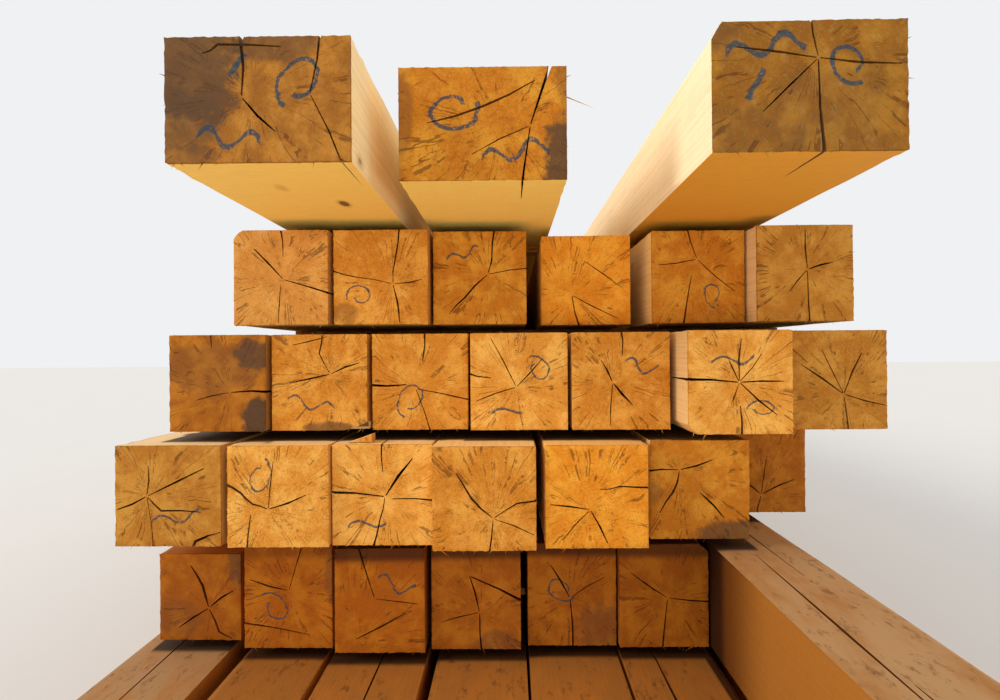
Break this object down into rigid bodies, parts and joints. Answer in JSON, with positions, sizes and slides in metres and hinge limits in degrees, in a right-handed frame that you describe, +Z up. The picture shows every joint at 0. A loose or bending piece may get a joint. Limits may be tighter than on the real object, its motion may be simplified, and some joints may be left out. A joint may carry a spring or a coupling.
{
  "type": "stack of sawn timber",
  "caption": "Stack of rough-sawn squared timbers laid in courses, with thin laths keeping the courses apart and wider beams laid flat on top.",
  "frame": {"origin": "middle of the stack's outline, on the level that its bottom course rests on", "axes": "+Z up, +Y along the timbers away from the end that the picture shows, +X to the right of that end"},
  "size_m": [1.088, 5.03, 0.915],
  "materials": {
    "sawn_timber": "rough sawn",
    "weathered_timber": "rough sawn, weathered",
    "lath_wood": "rough sawn",
    "fresh_wood": "split"
  },
  "bodies": {
    "root": {"corner_chip": "fresh_wood", "course_1_timber_1": "weathered_timber", "course_1_timber_2": "weathered_timber", "course_1_timber_3": "weathered_timber", "course_1_timber_4": "weathered_timber", "course_1_timber_5": "weathered_timber", "course_1_timber_6": "weathered_timber", "course_1_timber_7": "weathered_timber", "course_2_timber_1": "sawn_timber", "course_2_timber_2": "sawn_timber", "course_2_timber_3": "sawn_timber", "course_2_timber_4": "sawn_timber", "course_2_timber_5": "sawn_timber", "course_2_timber_6": "sawn_timber", "course_3_timber_1": "sawn_timber", "course_3_timber_2": "sawn_timber", "course_3_timber_3": "sawn_timber", "course_3_timber_4": "sawn_timber", "course_3_timber_5": "sawn_timber", "course_3_timber_6": "sawn_timber", "course_3_timber_7": "sawn_timber", "course_4_timber_1": "sawn_timber", "course_4_timber_2": "sawn_timber", "course_4_timber_3": "sawn_timber", "course_4_timber_4": "sawn_timber", "course_4_timber_5": "sawn_timber", "course_4_timber_6": "sawn_timber", "course_4_timber_7": "sawn_timber", "course_5_timber_1": "sawn_timber", "course_5_timber_2": "sawn_timber", "course_5_timber_3": "sawn_timber", "course_5_timber_4": "sawn_timber", "course_5_timber_5": "sawn_timber", "course_5_timber_6": "sawn_timber", "laths_gap_1": "lath_wood", "laths_gap_2": "lath_wood", "laths_gap_3": "lath_wood", "laths_gap_4": "lath_wood", "laths_gap_5": "lath_wood", "long_timber": "weathered_timber", "top_beam_left": "sawn_timber", "top_beam_middle": "sawn_timber", "top_beam_right": "sawn_timber"}
  },
  "joints": []
}
